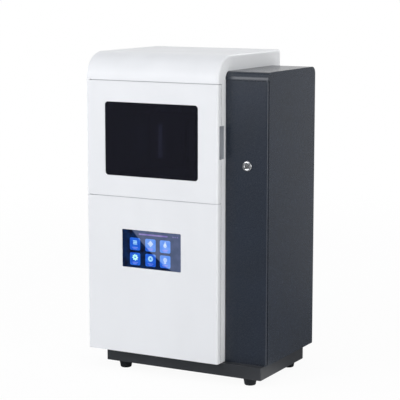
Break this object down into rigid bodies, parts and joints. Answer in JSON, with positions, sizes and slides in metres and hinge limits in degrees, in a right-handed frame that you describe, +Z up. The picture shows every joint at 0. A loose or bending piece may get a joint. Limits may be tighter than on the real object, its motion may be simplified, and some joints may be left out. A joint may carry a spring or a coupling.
{
  "type": "desktop resin printer",
  "caption": "Upright white resin printer with a tinted window in its hinged door, a touch screen below it, and a dark locked control cabinet along its right side",
  "frame": {"origin": "middle of the printer's footprint box, on the surface that its feet stand on", "axes": "+X to the right seen from the front, so the dark cabinet is on the +X side; -Y is the front with the door and the screen; +Z up"},
  "size_m": [0.446, 0.316, 0.74],
  "materials": {
    "white_enamel": "smooth semi-gloss white",
    "white_plastic": "moulded, satin gloss",
    "graphite_enamel": "fine-textured satin dark grey",
    "plinth_enamel": "matt dark grey",
    "black_rubber": "matt",
    "zinc_sheet": "zinc-plated sheet, fine grain",
    "plain_aluminium": "milled and clear anodised",
    "bright_steel": "ground bright",
    "bright_chrome": "polished",
    "brass": "turned",
    "tinted_acrylic": "dark smoke tint, polished",
    "clear_glass": "clear, polished",
    "clear_film": "thin clear film, slightly hazy",
    "screen_glass": "black-backed cover glass, polished",
    "black_plastic": "moulded, satin",
    "grey_plastic": "moulded, satin",
    "lamp_plastic": "opal diffuser",
    "dark_enamel": "satin black",
    "circuit_board": "green solder mask"
  },
  "bodies": {
    "printer": {"base_plinth": "plinth_enamel", "rubber_feet": "black_rubber", "floor_pan": "zinc_sheet", "chassis_frame": "zinc_sheet", "outer_shell": "white_enamel", "rear_panel": "white_enamel", "front_frame": "zinc_sheet", "chamber_liner": "zinc_sheet", "chamber_lamp": "lamp_plastic", "deck_plate": "plain_aluminium", "deck_glass": "clear_glass", "vat_tray": "plain_aluminium", "vat_film": "clear_film", "vat_film_frame": "black_plastic", "z_column": "plain_aluminium", "z_rails": "bright_steel", "screw_bearings": "dark_enamel", "z_motor": "dark_enamel", "projector_mount": "dark_enamel", "projector_housing": "dark_enamel", "projector_lens": "dark_enamel", "led_heat_sink": "plain_aluminium", "lower_front_panel": "white_plastic", "lcd_module": "circuit_board", "touch_glass": "screen_glass", "door_seal": "black_rubber", "door_hinge_pins": "bright_steel", "finger_pull": "grey_plastic", "cabinet_shell": "graphite_enamel", "cabinet_hinge_pins": "bright_steel", "electrics_plate": "zinc_sheet", "power_supply": "zinc_sheet", "main_board": "circuit_board", "power_inlet": "black_plastic", "data_ports": "grey_plastic", "exhaust_fan_frame": "black_plastic", "fan_guard": "bright_steel", "filter_cartridge": "black_plastic", "panel_screws": "bright_steel"},
    "door": {"door_shell": "white_plastic", "door_liner": "zinc_sheet", "door_window": "tinted_acrylic", "window_gasket": "black_rubber", "door_magnets": "bright_steel"},
    "cabinet_door": {"cabinet_door": "graphite_enamel", "lock_body": "bright_chrome"},
    "lock": {"lock_plug": "bright_chrome", "lock_cam": "bright_steel"},
    "carriage": {"z_carriage": "plain_aluminium", "lead_nut": "brass", "platform_arm": "plain_aluminium", "build_platform": "plain_aluminium"},
    "platform_clamp": {"platform_knob": "black_plastic"},
    "screw": {"lead_screw": "bright_steel", "shaft_coupler": "plain_aluminium"},
    "vat_clamp_left": {"vat_knob_left": "black_plastic"},
    "vat_clamp_right": {"vat_knob_right": "black_plastic"},
    "focus": {"focus_ring": "black_plastic"},
    "fan": {"exhaust_fan_rotor": "black_plastic"},
    "rocker": {"power_switch": "black_plastic"}
  },
  "joints": [
    {"name": "door_hinge", "type": "hinge", "parent": "printer", "child": "door", "pos_m": [-0.215, -0.15, 0.545], "axis": [0, 0, -1], "range_deg": [0, 105]},
    {"name": "cabinet_door_hinge", "type": "hinge", "parent": "printer", "child": "cabinet_door", "pos_m": [0.2195, -0.1185, 0.367], "axis": [0, 0, 1], "range_deg": [0, 100]},
    {"name": "lock_turn", "type": "hinge", "parent": "cabinet_door", "child": "lock", "pos_m": [0.174, -0.122, 0.497], "axis": [0, -1, 0], "range_deg": [0, 90]},
    {"name": "z_slide", "type": "slide", "parent": "printer", "child": "carriage", "axis": [0, 0, 1], "range_m": [-0.1578, 0]},
    {"name": "screw_turn", "type": "hinge", "parent": "printer", "child": "screw", "pos_m": [-0.052, 0.057, 0.57], "axis": [0, 0, 1], "range_deg": [0, 7110]},
    {"name": "platform_clamp_turn", "type": "hinge", "parent": "carriage", "child": "platform_clamp", "pos_m": [-0.052, -0.044, 0.64], "axis": [0, 0, 1], "continuous": true},
    {"name": "vat_clamp_left_turn", "type": "hinge", "parent": "printer", "child": "vat_clamp_left", "pos_m": [-0.166, -0.044, 0.44], "axis": [0, 0, 1], "continuous": true},
    {"name": "vat_clamp_right_turn", "type": "hinge", "parent": "printer", "child": "vat_clamp_right", "pos_m": [0.062, -0.044, 0.44], "axis": [0, 0, 1], "continuous": true},
    {"name": "focus_turn", "type": "hinge", "parent": "printer", "child": "focus", "pos_m": [-0.052, -0.044, 0.31], "axis": [0, 0, 1], "range_deg": [-45, 45]},
    {"name": "fan_spin", "type": "hinge", "parent": "printer", "child": "fan", "pos_m": [0.04, 0.142, 0.62], "axis": [0, 1, 0], "continuous": true},
    {"name": "rocker_tilt", "type": "hinge", "parent": "printer", "child": "rocker", "pos_m": [0.171, 0.126, 0.134], "axis": [-1, 0, 0], "range_deg": [0, 16]}
  ],
  "couplings": [
    {"joint": "screw_turn", "follows": "z_slide", "rad_per_m": -785.4}
  ]
}
